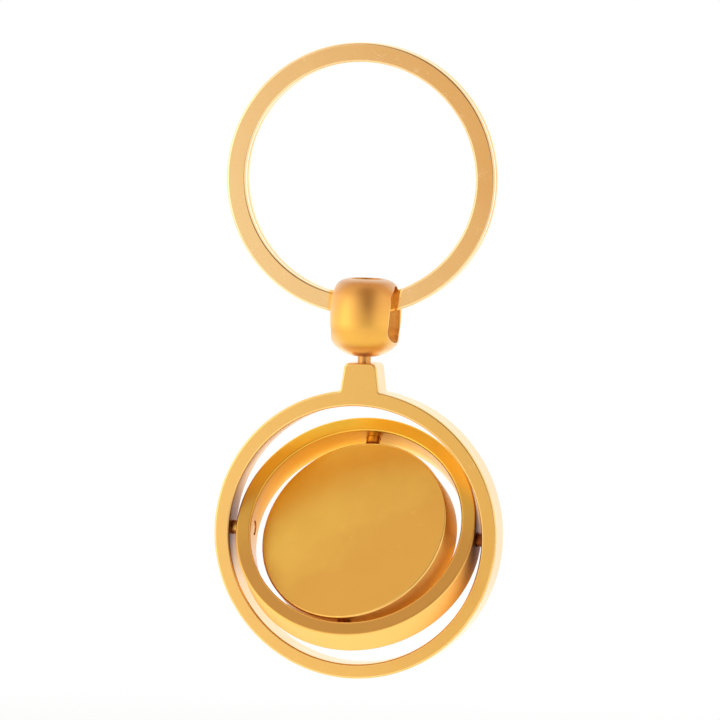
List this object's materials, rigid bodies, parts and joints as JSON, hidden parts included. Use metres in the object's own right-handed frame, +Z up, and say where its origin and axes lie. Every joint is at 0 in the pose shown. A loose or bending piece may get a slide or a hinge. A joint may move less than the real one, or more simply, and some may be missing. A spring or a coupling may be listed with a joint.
{
  "type": "spinning keyring",
  "caption": "Gold keyring: a flat split ring, a slotted swivel bead and a gimbal in which a plain disc turns inside nested rings",
  "frame": {"origin": "the inner edge of the split ring at its top, where it hangs on a hook or a finger", "axes": "+Z up, +X to the right and -Y to the front as the keyring hangs"},
  "size_m": [0.032, 0.0172, 0.0701],
  "materials": {
    "polished_gold": "polished gold plate",
    "satin_gold": "satin gold plate",
    "dark_gold": "satin gold plate, darker in the gaps"
  },
  "bodies": {
    "split_ring": {"split_ring": "polished_gold"},
    "bead": {"swivel_bead": "satin_gold"},
    "outer_frame": {"outer_ring": "satin_gold", "swivel_rivet": "dark_gold", "outer_pin_left": "dark_gold", "outer_pin_right": "dark_gold"},
    "inner_frame": {"inner_ring": "satin_gold"},
    "spinner": {"disc": "satin_gold", "inner_pin_top": "dark_gold", "inner_pin_bottom": "dark_gold"}
  },
  "joints": [
    {"name": "bead_flip", "type": "hinge", "parent": "split_ring", "child": "bead", "pos_m": [0.00088, 0, -0.0265], "axis": [1, 0, 0], "range_deg": [-130, 130]},
    {"name": "swivel_turn", "type": "hinge", "parent": "bead", "child": "outer_frame", "pos_m": [0.00088, 0, -0.0328], "axis": [0, 0, 1], "continuous": true},
    {"name": "inner_ring_turn", "type": "hinge", "parent": "outer_frame", "child": "inner_frame", "pos_m": [0.00088, 0, -0.05204], "axis": [0.9993, -0.0384, 0], "continuous": true},
    {"name": "disc_turn", "type": "hinge", "parent": "inner_frame", "child": "spinner", "pos_m": [0.00088, 0, -0.05204], "axis": [0.0199, 0.5176, 0.8554], "continuous": true}
  ]
}
